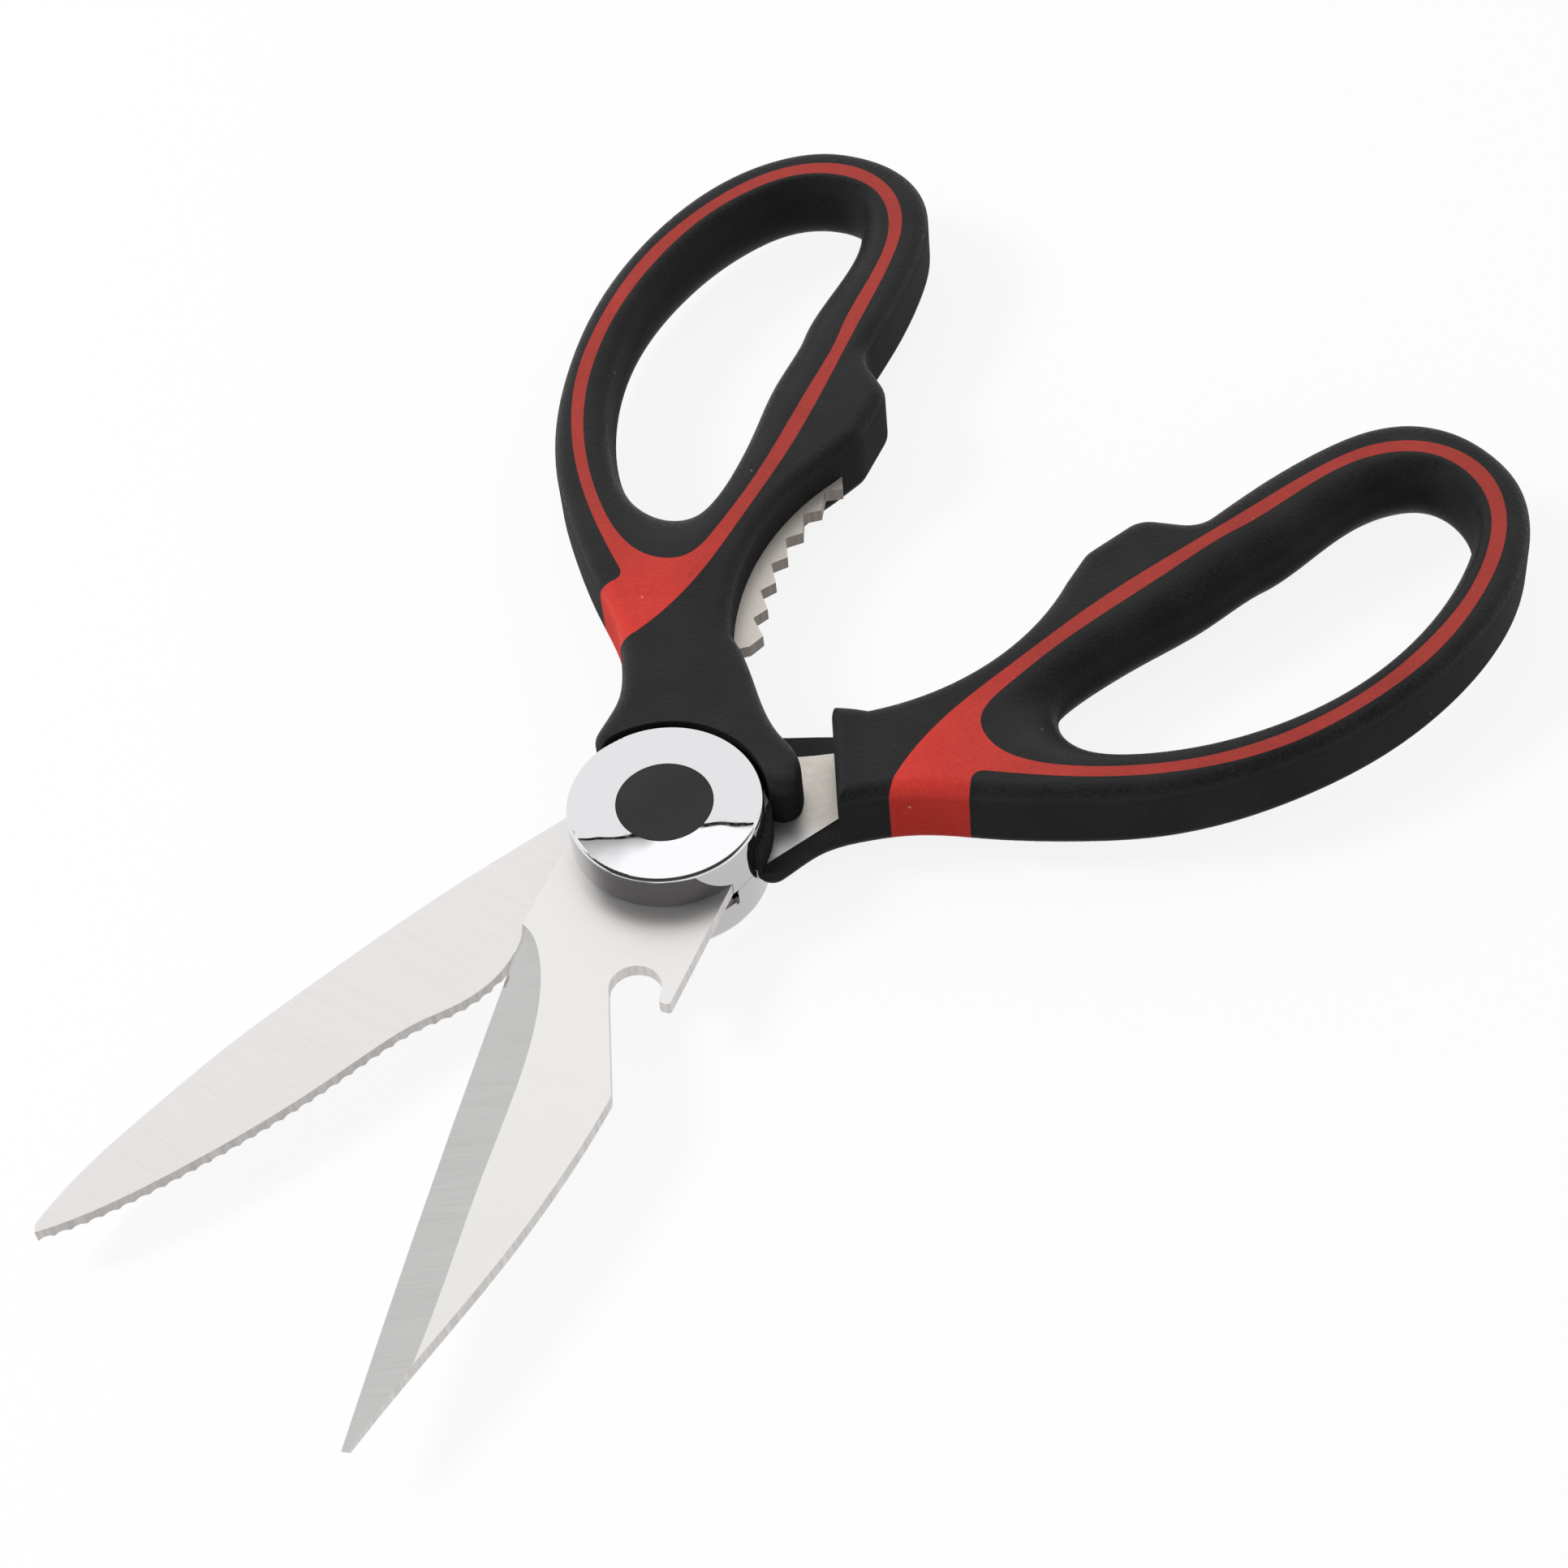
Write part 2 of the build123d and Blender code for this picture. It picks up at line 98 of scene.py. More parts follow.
_, tree = sheet("table", 1, lambda x, y: Vector((x * table_half, y * table_half, 0)))
table_out = shader_node(tree, "ShaderNodeOutputMaterial")
glow = shader_node(tree, "ShaderNodeEmission", {"Color": (1, 1, 1, 1), "Strength": 1.0})
matt = shader_node(tree, "ShaderNodeBsdfDiffuse", {"Color": table_white})
bounce = shader_node(tree, "ShaderNodeBsdfDiffuse", {"Color": table_bounce})
shown = shader_node(tree, "ShaderNodeMixShader", {"Fac": table_shadow_share})
surface = shader_node(tree, "ShaderNodeMixShader")
wire(
    tree,
    (glow.outputs[0], shown.inputs[1]),
    (matt.outputs[0], shown.inputs[2]),
    (seen_directly(tree), surface.inputs["Fac"]),
    (bounce.outputs[0], surface.inputs[1]),
    (shown.outputs[0], surface.inputs[2]),
    (surface.outputs[0], table_out.inputs["Surface"]),
)

# Studio light
# White all round to the eye and in mirrors. As light it is an even glow, brighter
# behind the handles, with one soft lamp from the left that casts the shadow.
room_away = (-0.687, 0.727, 0.25)
room_front = 0.46
room_back = 0.66
room_change = (-0.3, 0.4)
lamp_place = Vector((-0.74, -0.52, 0.84))
lamp_size = 0.30
lamp_power = 8.0


def ramp(tree, span, levels=(0.0, 1.0), **settings):
    """A value that goes from the first level to the second while its input crosses the span."""
    inputs = {"From Min": span[0], "From Max": span[1], "To Min": levels[0], "To Max": levels[1]}
    return shader_node(tree, "ShaderNodeMapRange", inputs, **settings)


room = bpy.data.worlds.new("studio")
bpy.context.scene.world = room
room.use_nodes = True
tree = room.node_tree
tree.nodes.clear()
room_out = shader_node(tree, "ShaderNodeOutputWorld")
backdrop = shader_node(tree, "ShaderNodeBackground", {"Color": (1, 1, 1, 1)})
way = shader_node(tree, "ShaderNodeTexCoord")
facing = shader_node(tree, "ShaderNodeVectorMath", {1: room_away}, operation="DOT_PRODUCT")
level = ramp(tree, room_change, (room_front, room_back), interpolation_type="SMOOTHSTEP")
pick = shader_node(tree, "ShaderNodeMix", {"B": 1.0}, data_type="FLOAT")
wire(
    tree,
    (way.outputs["Generated"], facing.inputs[0]),
    (facing.outputs["Value"], level.inputs["Value"]),
    (seen_directly(tree), pick.inputs["Factor"]),
    (level.outputs["Result"], pick.inputs["A"]),
    (pick.outputs["Result"], backdrop.inputs["Strength"]),
    (backdrop.outputs[0], room_out.inputs["Surface"]),
)

lamp_data = bpy.data.lights.new("window_lamp", "AREA")
lamp_data.shape = "SQUARE"
lamp_data.size = lamp_size
lamp_data.energy = lamp_power
lamp = bpy.data.objects.new("window_lamp", lamp_data)
lamp_turn = lamp_place.to_track_quat("Z", "Y").to_matrix().to_4x4()
lamp.matrix_world = Matrix.Translation(lamp_place) @ lamp_turn
lamp.visible_glossy = False
bpy.context.collection.objects.link(lamp)

# Softbox
# A white panel with a dark lower frame, seen only in reflections. The cap mirrors
# that frame as the dark wavy line across its front.
mirror_aim = Vector((-0.43076, 0.45603, 0.77877))
mirror_side = Vector((0.72697, 0.68666, 0.0))
mirror_up = Vector((0.53475, -0.56614, 0.62731))
softbox_distance = 1.5
softbox_half_width = 1.0
softbox_height = 0.28
softbox_bottom = 0.078
softbox_frame = 0.008
softbox_glow = 1.25
softbox_frame_glow = 0.03
softbox_frame_blur = 1.3
softbox_low_glow = 0.35
softbox_bright_middle = (0.05, 0.16)
softbox_side_fade = 0.09


def only_in_reflections(card):
    """Hides a card from the camera, from soft light and from shadows, but not from reflections."""
    card.visible_camera = False
    card.visible_diffuse = False
    card.visible_transmission = False
    card.visible_shadow = False


def softbox_point(x, y):
    """A point of the panel: x across it, y from its lower edge to its upper edge."""
    rise = softbox_bottom + (y + 1) / 2 * softbox_height
    return mirror_aim * softbox_distance + mirror_side * (x * softbox_half_width) + mirror_up * rise


softbox, tree = sheet("softbox", 1, softbox_point)
only_in_reflections(softbox)
softbox_out = shader_node(tree, "ShaderNodeOutputMaterial")
panel = shader_node(tree, "ShaderNodeEmission", {"Color": (1, 1, 1, 1)})
place = shader_node(tree, "ShaderNodeTexCoord")
rise = shader_node(tree, "ShaderNodeVectorMath", {1: mirror_up}, operation="DOT_PRODUCT")
across = shader_node(tree, "ShaderNodeVectorMath", {1: mirror_side}, operation="DOT_PRODUCT")
frame_edge = (softbox_bottom + softbox_frame, softbox_bottom + softbox_frame_blur * softbox_frame)
inside = ramp(tree, frame_edge, (softbox_frame_glow, 1.0))
middle = shader_node(tree, "ShaderNodeMath", operation="ABSOLUTE")
edge_fall = ramp(tree, softbox_bright_middle, (0.0, softbox_side_fade), interpolation_type="SMOOTHSTEP")
fade_top = shader_node(tree, "ShaderNodeMath", {1: softbox_bottom + softbox_frame}, operation="ADD")
fade = ramp(tree, (softbox_bottom, 1.0), (softbox_low_glow, 1.0), interpolation_type="SMOOTHSTEP")
shaded = shader_node(tree, "ShaderNodeMath", operation="MULTIPLY")
strength = shader_node(tree, "ShaderNodeMath", {1: softbox_glow}, operation="MULTIPLY")
wire(
    tree,
    (place.outputs["Object"], rise.inputs[0]),
    (place.outputs["Object"], across.inputs[0]),
    (rise.outputs["Value"], inside.inputs["Value"]),
    (across.outputs["Value"], middle.inputs[0]),
    (middle.outputs[0], edge_fall.inputs["Value"]),
    (edge_fall.outputs["Result"], fade_top.inputs[0]),
    (rise.outputs["Value"], fade.inputs["Value"]),
    (fade_top.outputs[0], fade.inputs["From Max"]),
    (inside.outputs["Result"], shaded.inputs[0]),
    (fade.outputs["Result"], shaded.inputs[1]),
    (shaded.outputs[0], strength.inputs[0]),
    (strength.outputs[0], panel.inputs["Strength"]),
    (panel.outputs[0], softbox_out.inputs["Surface"]),
)

# Dark ceiling
# A dark curved card from above the panel over to the camera's side, seen only in
# reflections. It is why edges that turn towards us look dark, and it darkens the cap's skirt
# along with the skirt's painted shade.
ceiling_start = 66.0
ceiling_end = 174.0
ceiling_radius = 2.2
ceiling_half_width = 4.0
ceiling_dark = 0.05
ceiling_front = 0.22
ceiling_dark_change = (0.12, 0.40)
ceiling_front_change = (-0.85, -0.99)
ceiling_steps = 36
ceiling_back = Vector((-0.68666, 0.72697, 0.0))


def ceiling_angle(y):
    """Angle up from the far horizon, in radians, for a share of the card from -1 to 1."""
    return math.radians(ceiling_start + (y + 1) / 2 * (ceiling_end - ceiling_start))


def ceiling_point(x, y):
    """A point of the card, which is bent round the line through the shears from left to right."""
    out = ceiling_back * math.cos(ceiling_angle(y)) + Vector((0, 0, math.sin(ceiling_angle(y))))
    return out * ceiling_radius + mirror_side * (x * ceiling_half_width)


ceiling, tree = sheet("dark_ceiling", ceiling_steps, ceiling_point)
only_in_reflections(ceiling)
ceiling_out = shader_node(tree, "ShaderNodeOutputMaterial")
card = shader_node(tree, "ShaderNodeEmission", {"Color": (1, 1, 1, 1)})
place = shader_node(tree, "ShaderNodeTexCoord")
toward = shader_node(
    tree, "ShaderNodeVectorMath", {1: ceiling_back * (1 / ceiling_radius)}, operation="DOT_PRODUCT"
)
near_panel = ramp(tree, ceiling_dark_change, (ceiling_dark, 1.0), interpolation_type="SMOOTHSTEP")
near_front = ramp(tree, ceiling_front_change, (0.0, ceiling_front))
total = shader_node(tree, "ShaderNodeMath", operation="ADD")
wire(
    tree,
    (place.outputs["Object"], toward.inputs[0]),
    (toward.outputs["Value"], near_panel.inputs["Value"]),
    (toward.outputs["Value"], near_front.inputs["Value"]),
    (near_panel.outputs["Result"], total.inputs[0]),
    (near_front.outputs["Result"], total.inputs[1]),
    (total.outputs[0], card.inputs["Strength"]),
    (card.outputs[0], ceiling_out.inputs["Surface"]),
)

# Blades
# Two stampings of stainless steel. The flats and the bevel are ground on a wheel, which
# leaves fine parallel lines, the tang is only tumbled, and the sheared edges are duller.
# The walls of the teeth on the tang are a painted shade, coloured much darker than the steel.
upper_flat_colour = (0.900, 0.886, 0.872, 1)
lower_flat_colour = (0.855, 0.836, 0.824, 1)
bevel_colour = (0.570, 0.565, 0.560, 1)
tang_colour = (0.930, 0.870, 0.800, 1)
upper_wall_colour = (0.640, 0.620, 0.605, 1)
lower_wall_colour = (0.500, 0.482, 0.470, 1)
# Painted shade: the upright walls of the teeth on the tang are coloured far darker than the steel.
tooth_wall_painted_shade = (0.250, 0.220, 0.200, 1)
upper_flat_turn = 12
upper_bevel_turn = 31
lower_flat_turn = 5
upper_line_depth = 0.10
lower_line_depth = 0.24
bevel_line_depth = 0.40
line_length_scale = 130
line_width_scale = 4600
band_length_scale = 30
band_width_scale = 700
band_share = 0.35
flat_limits = (0.988, 0.996)
wall_limits = (0.6, 0.4)
tang_start = (0.010, 0.013)
tumble_scale = 1600.0
shear_scale = (1500, 1500, 120)
wall_line_depth = 0.7
ground_metal = 0.85
tang_metal = 0.70
ground_rough_range = (0.28, 0.44)
tang_rough = 0.50
line_bump = 0.3
line_bump_depth = 0.00002


def dress(names, mat):
    """Gives CAD nodes their material."""
    for name in names:
        for slot in nodes[name].material_slots:
            slot.material = mat


def value_group(name, values):
    """A node group that takes a place on the piece and gives one number for each name."""
    group = bpy.data.node_groups.new(name, "ShaderNodeTree")
    group.interface.new_socket(name="Vector", in_out="INPUT", socket_type="NodeSocketVector")
    for value in values:
        group.interface.new_socket(name=value, in_out="OUTPUT", socket_type="NodeSocketFloat")
    return group, shader_node(group, "NodeGroupInput"), shader_node(group, "NodeGroupOutput")


grinding, entry, leave = value_group("grinding_lines", ["Height", "Tone"])
fine_stretch = shader_node(
    grinding,
    "ShaderNodeVectorMath",
    {1: (line_length_scale, line_width_scale, line_length_scale)},
    operation="MULTIPLY",
)
fine = shader_node(grinding, "ShaderNodeTexNoise", {"Scale": 1.0, "Detail": 3.0})
band_stretch = shader_node(
    grinding,
    "ShaderNodeVectorMath",
    {1: (band_length_scale, band_width_scale, band_length_scale)},
    operation="MULTIPLY",
)
band = shader_node(grinding, "ShaderNodeTexNoise", {"Scale": 1.0, "Detail": 2.0})
blend = shader_node(grinding, "ShaderNodeMix", {"Factor": band_share}, data_type="FLOAT")
wire(
    grinding,
    (entry.outputs["Vector"], fine_stretch.inputs[0]),
    (fine_stretch.outputs[0], fine.inputs["Vector"]),
    (entry.outputs["Vector"], band_stretch.inputs[0]),
    (band_stretch.outputs[0], band.inputs["Vector"]),
    (fine.outputs["Fac"], blend.inputs["A"]),
    (band.outputs["Fac"], blend.inputs["B"]),
    (fine.outputs["Fac"], leave.inputs["Height"]),
    (blend.outputs["Result"], leave.inputs["Tone"]),
)


def blade_steel(name, flat_turn, bevel_turn, flat_colour, wall_colour, flat_line_depth):
    """Ground steel: flats, bevel, tumbled tang and sheared walls, told apart by normal and place; the
    tooth walls get a painted shade.
    """
    mat = bpy.data.materials.new(name)
    mat.use_nodes = True
    tree = mat.node_tree
    steel = tree.nodes["Principled BSDF"]
    place = shader_node(tree, "ShaderNodeTexCoord")
    normal = shader_node(tree, "ShaderNodeSeparateXYZ")
    where = shader_node(tree, "ShaderNodeSeparateXYZ")
    upright = shader_node(tree, "ShaderNodeMath", operation="ABSOLUTE")
    flat = ramp(tree, flat_limits)
    wall = ramp(tree, wall_limits)
    tang = ramp(tree, tang_start)
    wire(
        tree,
        (place.outputs["Normal"], normal.inputs[0]),
        (place.outputs["Object"], where.inputs[0]),
        (normal.outputs["Z"], upright.inputs[0]),
        (upright.outputs[0], flat.inputs["Value"]),
        (upright.outputs[0], wall.inputs["Value"]),
        (where.outputs["Y"], tang.inputs["Value"]),
    )

    tones = []
    heights = []
    for turn in (bevel_turn, flat_turn):
        turned = shader_node(
            tree, "ShaderNodeVectorRotate", {"Angle": -math.radians(turn)}, rotation_type="Z_AXIS"
        )
        lines = shader_node(tree, "ShaderNodeGroup", node_tree=grinding)
        wire(
            tree,
            (place.outputs["Object"], turned.inputs["Vector"]),
            (turned.outputs[0], lines.inputs["Vector"]),
        )
        tones.append(lines.outputs["Tone"])
        heights.append(lines.outputs["Height"])
    ground_tone = shader_node(tree, "ShaderNodeMix", data_type="FLOAT")
    ground_height = shader_node(tree, "ShaderNodeMix", data_type="FLOAT")
    tumbled = shader_node(tree, "ShaderNodeTexNoise", {"Scale": tumble_scale, "Detail": 3.0})
    shear = shader_node(tree, "ShaderNodeVectorMath", {1: shear_scale}, operation="MULTIPLY")
    sheared = shader_node(tree, "ShaderNodeTexNoise", {"Scale": 1.0, "Detail": 2.0})
    tang_tone = shader_node(tree, "ShaderNodeMix", data_type="FLOAT")
    tone = shader_node(tree, "ShaderNodeMix", data_type="FLOAT")
    height = shader_node(tree, "ShaderNodeMix", data_type="FLOAT")
    wire(
        tree,
        (flat.outputs["Result"], ground_tone.inputs["Factor"]),
        (tones[0], ground_tone.inputs["A"]),
        (tones[1], ground_tone.inputs["B"]),
        (flat.outputs["Result"], ground_height.inputs["Factor"]),
        (heights[0], ground_height.inputs["A"]),
        (heights[1], ground_height.inputs["B"]),
        (place.outputs["Object"], tumbled.inputs["Vector"]),
        (place.outputs["Object"], shear.inputs[0]),
        (shear.outputs[0], sheared.inputs["Vector"]),
        (tang.outputs["Result"], tang_tone.inputs["Factor"]),
        (ground_tone.outputs["Result"], tang_tone.inputs["A"]),
        (tumbled.outputs["Fac"], tang_tone.inputs["B"]),
        (wall.outputs["Result"], tone.inputs["Factor"]),
        (tang_tone.outputs["Result"], tone.inputs["A"]),
        (sheared.outputs["Fac"], tone.inputs["B"]),
        (tang.outputs["Result"], height.inputs["Factor"]),
        (ground_height.outputs["Result"], height.inputs["A"]),
        (tumbled.outputs["Fac"], height.inputs["B"]),
    )

    ground = shader_node(tree, "ShaderNodeMix", {6: bevel_colour, 7: flat_colour}, data_type="RGBA")
    with_tang = shader_node(tree, "ShaderNodeMix", {7: tang_colour}, data_type="RGBA")
    # Upright walls on the tang take the painted shade of the teeth.
    walls = shader_node(tree, "ShaderNodeMix", {6: wall_colour, 7: tooth_wall_painted_shade}, data_type="RGBA")
    with_wall = shader_node(tree, "ShaderNodeMix", data_type="RGBA")
    line_depth = shader_node(
        tree, "ShaderNodeMix", {"A": bevel_line_depth, "B": flat_line_depth}, data_type="FLOAT"
    )
    depth = shader_node(tree, "ShaderNodeMix", {"B": wall_line_depth}, data_type="FLOAT")
    centred = shader_node(tree, "ShaderNodeMath", {1: 0.5}, operation="SUBTRACT")
    lighten = shader_node(tree, "ShaderNodeMath", {2: 1.0}, operation="MULTIPLY_ADD")
    colour = shader_node(tree, "ShaderNodeVectorMath", operation="SCALE")
    wire(
        tree,
        (flat.outputs["Result"], ground.inputs["Factor"]),
        (tang.outputs["Result"], with_tang.inputs["Factor"]),
        (ground.outputs[2], with_tang.inputs[6]),
        (wall.outputs["Result"], with_wall.inputs["Factor"]),
        (with_tang.outputs[2], with_wall.inputs[6]),
        (tang.outputs["Result"], walls.inputs["Factor"]),
        (walls.outputs[2], with_wall.inputs[7]),
        (flat.outputs["Result"], line_depth.inputs["Factor"]),
        (wall.outputs["Result"], depth.inputs["Factor"]),
        (line_depth.outputs["Result"], depth.inputs["A"]),
        (tone.outputs["Result"], centred.inputs[0]),
        (centred.outputs[0], lighten.inputs[0]),
        (depth.outputs["Result"], lighten.inputs[1]),
        (with_wall.outputs[2], colour.inputs[0]),
        (lighten.outputs[0], colour.inputs["Scale"]),
        (colour.outputs[0], steel.inputs["Base Color"]),
    )

    shine = shader_node(tree, "ShaderNodeMix", {"A": ground_metal, "B": tang_metal}, data_type="FLOAT")
    ground_rough = ramp(tree, (0.0, 1.0), ground_rough_range)
    rough = shader_node(tree, "ShaderNodeMix", {"B": tang_rough}, data_type="FLOAT")
    bump = shader_node(tree, "ShaderNodeBump", {"Strength": line_bump, "Distance": line_bump_depth})
    wire(
        tree,
        (tang.outputs["Result"], shine.inputs["Factor"]),
        (shine.outputs["Result"], steel.inputs["Metallic"]),
        (tone.outputs["Result"], ground_rough.inputs["Value"]),
        (tang.outputs["Result"], rough.inputs["Factor"]),
        (ground_rough.outputs["Result"], rough.inputs["A"]),
        (rough.outputs["Result"], steel.inputs["Roughness"]),
        (height.outputs["Result"], bump.inputs["Height"]),
        (bump.outputs["Normal"], steel.inputs["Normal"]),
    )
    return mat


dress(
    ["upper_blade"],
    blade_steel(
        "upper_blade_steel", upper_flat_turn, upper_bevel_turn, upper_flat_colour, upper_wall_colour,
        upper_line_depth,
    ),
)
dress(
    ["lower_blade"],
    blade_steel(
        "lower_blade_steel", lower_flat_turn, lower_flat_turn, lower_flat_colour, lower_wall_colour,
        lower_line_depth,
    ),
)

# Handle cores
# Hard red plastic moulded round the tangs. It shows as the stripe and as the patch
# that wraps over the side, with a fine mould grain and a few pale specks.
core_patch_colour = (0.650, 0.040, 0.028, 1)
core_stripe_colour = (0.400, 0.038, 0.028, 1)
core_speck_colour = (0.80, 0.42, 0.38, 1)
core_patch_reach = (0.034, 0.052)
core_mottling = 0.20
core_gloss = 0.24
core_rough_range = (0.40, 0.52)
core_pit_depth = 0.00004
wall_rough = 0.85
wall_dulling = (0.5, 0.1)
pit_bump = 0.5
grain_scale = 2600.0
cloud_scale = 110.0
speck_scale = 420.0
speck_rarity = 0.93
speck_edge = (0.11, 0.05)
pit_span = (0.3, 0.7)
mottle_span = (0.6, 1.4)

grain, entry, leave = value_group("mould_grain", ["Height", "Cloud", "Speck"])
pits = shader_node(grain, "ShaderNodeTexNoise", {"Scale": grain_scale, "Detail": 2.0})
cloud = shader_node(grain, "ShaderNodeTexNoise", {"Scale": cloud_scale, "Detail": 3.0})
dust = shader_node(grain, "ShaderNodeTexVoronoi", {"Scale": speck_scale})
dot = ramp(grain, speck_edge)
lot = shader_node(grain, "ShaderNodeSeparateColor")
rare = shader_node(grain, "ShaderNodeMath", {1: speck_rarity}, operation="GREATER_THAN")
speck = shader_node(grain, "ShaderNodeMath", operation="MULTIPLY")
wire(
    grain,
    (entry.outputs["Vector"], pits.inputs["Vector"]),
    (entry.outputs["Vector"], cloud.inputs["Vector"]),
    (entry.outputs["Vector"], dust.inputs["Vector"]),
    (dust.outputs["Distance"], dot.inputs["Value"]),
    (dust.outputs["Color"], lot.inputs["Color"]),
    (lot.outputs["Red"], rare.inputs[0]),
    (dot.outputs["Result"], speck.inputs[0]),
    (rare.outputs[0], speck.inputs[1]),
    (pits.outputs["Fac"], leave.inputs["Height"]),
    (cloud.outputs["Fac"], leave.inputs["Cloud"]),
    (speck.outputs[0], leave.inputs["Speck"]),
)


def moulded(name, near_colour, far_colour, speck_colour, gloss, rough_range, pit_depth, mottling):
    """Moulded plastic or elastomer: near_colour at the patch fades to far_colour, walls are duller."""
    mat = bpy.data.materials.new(name)
    mat.use_nodes = True
    tree = mat.node_tree
    skin = tree.nodes["Principled BSDF"]
    skin.inputs["Specular IOR Level"].default_value = gloss
    place = shader_node(tree, "ShaderNodeTexCoord")
    marks = shader_node(tree, "ShaderNodeGroup", node_tree=grain)
    flatten = shader_node(tree, "ShaderNodeVectorMath", {1: (1, 1, 0)}, operation="MULTIPLY")
    distance = shader_node(tree, "ShaderNodeVectorMath", operation="LENGTH")
    far = ramp(tree, core_patch_reach)
    shade = shader_node(tree, "ShaderNodeMix", {6: near_colour, 7: far_colour}, data_type="RGBA")
    mottle = shader_node(tree, "ShaderNodeMath", operation="ADD")
    uneven = ramp(tree, mottle_span, (1 - mottling, 1 + mottling))
    worn = shader_node(tree, "ShaderNodeVectorMath", operation="SCALE")
    dusty = shader_node(tree, "ShaderNodeMix", {7: speck_colour}, data_type="RGBA")
    top_rough = ramp(tree, pit_span, rough_range)
    normal = shader_node(tree, "ShaderNodeSeparateXYZ")
    upright = shader_node(tree, "ShaderNodeMath", operation="ABSOLUTE")
    wall = ramp(tree, wall_dulling)
    rough = shader_node(tree, "ShaderNodeMix", {"B": wall_rough}, data_type="FLOAT")
    bump = shader_node(tree, "ShaderNodeBump", {"Strength": pit_bump, "Distance": pit_depth})
    wire(
        tree,
        (place.outputs["Object"], marks.inputs["Vector"]),
        (place.outputs["Object"], flatten.inputs[0]),
        (flatten.outputs[0], distance.inputs[0]),
        (distance.outputs["Value"], far.inputs["Value"]),
        (far.outputs["Result"], shade.inputs["Factor"]),
        (marks.outputs["Cloud"], mottle.inputs[0]),
        (marks.outputs["Height"], mottle.inputs[1]),
        (mottle.outputs[0], uneven.inputs["Value"]),
        (shade.outputs[2], worn.inputs[0]),
        (uneven.outputs["Result"], worn.inputs["Scale"]),
        (worn.outputs[0], dusty.inputs[6]),
        (marks.outputs["Speck"], dusty.inputs["Factor"]),
        (dusty.outputs[2], skin.inputs["Base Color"]),
        (marks.outputs["Height"], top_rough.inputs["Value"]),
        (place.outputs["Normal"], normal.inputs[0]),
        (normal.outputs["Z"], upright.inputs[0]),
        (upright.outputs[0], wall.inputs["Value"]),
        (wall.outputs["Result"], rough.inputs["Factor"]),
        (top_rough.outputs["Result"], rough.inputs["A"]),
        (rough.outputs["Result"], skin.inputs["Roughness"]),
        (marks.outputs["Height"], bump.inputs["Height"]),
        (bump.outputs["Normal"], skin.inputs["Normal"]),
    )
    return mat


dress(
    ["upper_handle_core", "lower_handle_core"],
    moulded(
        "core_red", core_patch_colour, core_stripe_colour, core_speck_colour, core_gloss, core_rough_range,
        core_pit_depth, core_mottling,
    ),
)

# Grips
# Soft black elastomer over the core: the lining of the finger hole and the outer skin
# with its bumper and collar. Matt, with the sparkle of a spark-eroded mould.
grip_colour = (0.0170, 0.0170, 0.0180, 1)
grip_speck_colour = (0.14, 0.14, 0.14, 1)
grip_mottling = 0.45
grip_gloss = 0.20
grip_rough_range = (0.36, 0.64)
grip_pit_depth = 0.00022

dress(
    ["upper_inner_grip", "upper_outer_grip", "lower_inner_grip", "lower_outer_grip"],
    moulded(
        "grip_black", grip_colour, grip_colour, grip_speck_colour, grip_gloss, grip_rough_range,
        grip_pit_depth, grip_mottling,
    ),
)

# Caps
# Drawn and chromed shells over the pivot. The top is very slightly domed and not quite
# even, so it bends what it mirrors, and the skirt's colour is a painted shade, darker than the top.
cap_colour = (0.775, 0.775, 0.792, 1)
cap_skirt_painted_shade = (0.52, 0.51, 0.51, 1)
cap_dome = 2.08
cap_waviness = 0.00006
cap_wave_scale = 150.0
cap_scratch_scale = 1400.0
cap_scratch_span = (0.4, 0.8)
cap_rough_range = (0.010, 0.035)
cap_skirt_shade_limits = (0.25, 0.05)

cap_mat = bpy.data.materials.new("cap_chrome")
cap_mat.use_nodes = True
tree = cap_mat.node_tree
chrome = tree.nodes["Principled BSDF"]
chrome.inputs["Metallic"].default_value = 1.0
place = shader_node(tree, "ShaderNodeTexCoord")
flatten = shader_node(tree, "ShaderNodeVectorMath", {1: (1, 1, 0)}, operation="MULTIPLY")
squared = shader_node(tree, "ShaderNodeVectorMath", operation="DOT_PRODUCT")
dome = shader_node(tree, "ShaderNodeMath", {1: -cap_dome}, operation="MULTIPLY")
wave = shader_node(tree, "ShaderNodeTexNoise", {"Scale": cap_wave_scale, "Detail": 0.5})
surface_height = shader_node(tree, "ShaderNodeMath", {1: cap_waviness}, operation="MULTIPLY_ADD")
bump = shader_node(tree, "ShaderNodeBump", {"Strength": 1.0, "Distance": 1.0})
scratch = shader_node(tree, "ShaderNodeTexNoise", {"Scale": cap_scratch_scale, "Detail": 3.0})
rough = ramp(tree, cap_scratch_span, cap_rough_range)
normal = shader_node(tree, "ShaderNodeSeparateXYZ")
upright = shader_node(tree, "ShaderNodeMath", operation="ABSOLUTE")
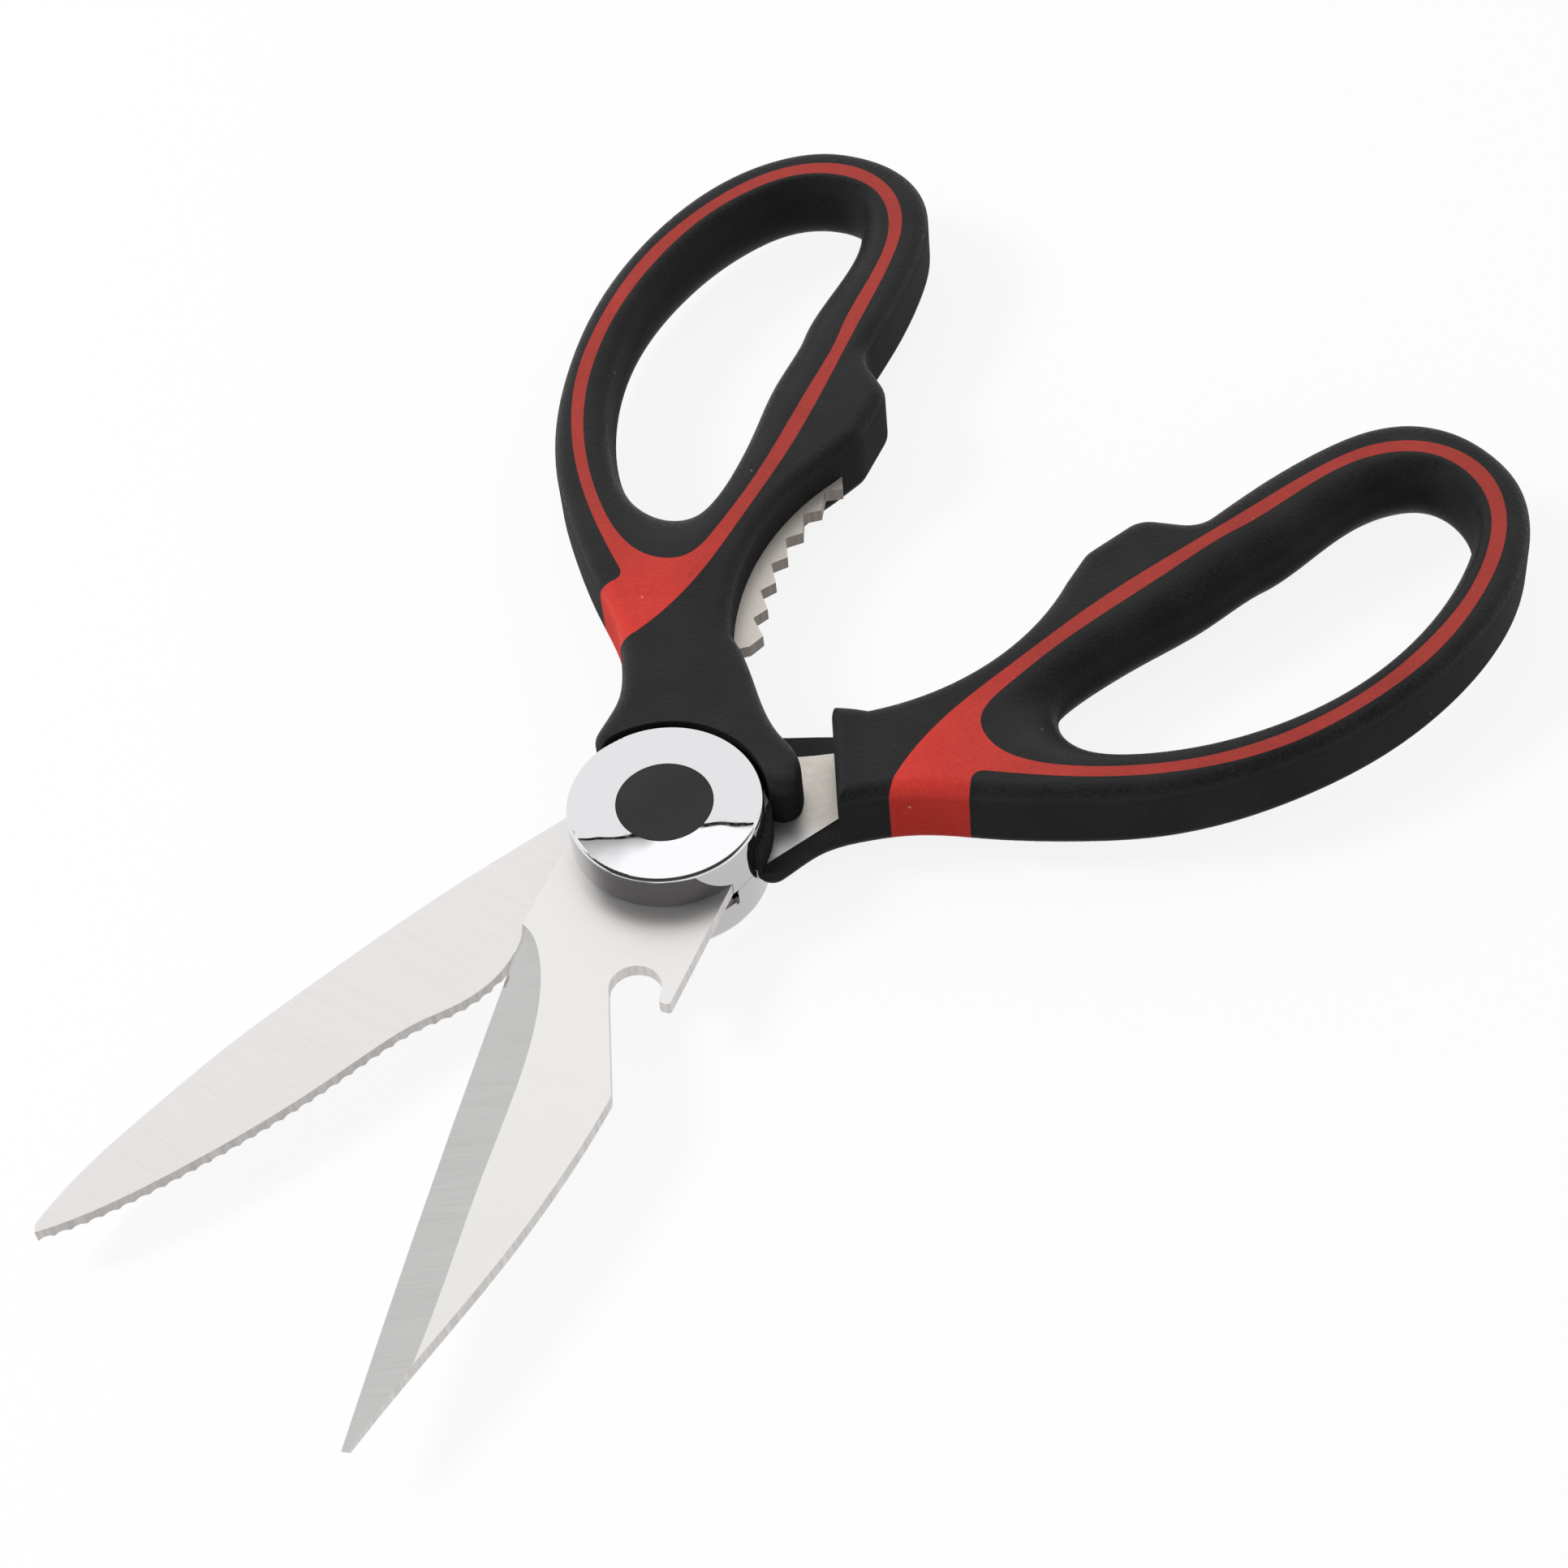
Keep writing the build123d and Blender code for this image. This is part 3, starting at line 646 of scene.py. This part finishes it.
# Painted shade: upright faces, the skirt, are coloured darker than the top.
skirt = ramp(tree, cap_skirt_shade_limits)
shade = shader_node(tree, "ShaderNodeMix", {6: cap_colour, 7: cap_skirt_painted_shade}, data_type="RGBA")
wire(
    tree,
    (place.outputs["Object"], flatten.inputs[0]),
    (flatten.outputs[0], squared.inputs[0]),
    (flatten.outputs[0], squared.inputs[1]),
    (squared.outputs["Value"], dome.inputs[0]),
    (place.outputs["Object"], wave.inputs["Vector"]),
    (wave.outputs["Fac"], surface_height.inputs[0]),
    (dome.outputs[0], surface_height.inputs[2]),
    (surface_height.outputs[0], bump.inputs["Height"]),
    (bump.outputs["Normal"], chrome.inputs["Normal"]),
    (place.outputs["Object"], scratch.inputs["Vector"]),
    (scratch.outputs["Fac"], rough.inputs["Value"]),
    (rough.outputs["Result"], chrome.inputs["Roughness"]),
    (place.outputs["Normal"], normal.inputs[0]),
    (normal.outputs["Z"], upright.inputs[0]),
    (upright.outputs[0], skirt.inputs["Value"]),
    (skirt.outputs["Result"], shade.inputs["Factor"]),
    (shade.outputs[2], chrome.inputs["Base Color"]),
)
dress(["upper_cap", "lower_cap"], cap_mat)

# Cap discs
# Plain matt black plastic discs clipped into the holes of the caps. They are smoother
# than the grips and a shade greyer.
disc_colour = (0.0200, 0.0200, 0.0212, 1)
disc_speck_colour = (0.10, 0.10, 0.10, 1)
disc_gloss = 0.34
disc_rough_range = (0.46, 0.56)
disc_pit_depth = 0.00005
disc_mottling = 0.45

dress(
    ["upper_cap_disc", "lower_cap_disc"],
    moulded(
        "disc_black", disc_colour, disc_colour, disc_speck_colour, disc_gloss, disc_rough_range,
        disc_pit_depth, disc_mottling,
    ),
)

# Pivot
# A sleeve nut that carries both blades, the screw in it and a dished spring washer,
# of plain turned steel. All three are hidden under the caps.
pivot_colour = (0.60, 0.585, 0.57, 1)
pivot_face_turn = 0
pivot_rim_turn = 90

dress(
    ["pivot_nut", "pivot_screw", "spring_washer"],
    blade_steel(
        "pivot_steel", pivot_face_turn, pivot_rim_turn, pivot_colour, pivot_colour, upper_line_depth
    ),
)
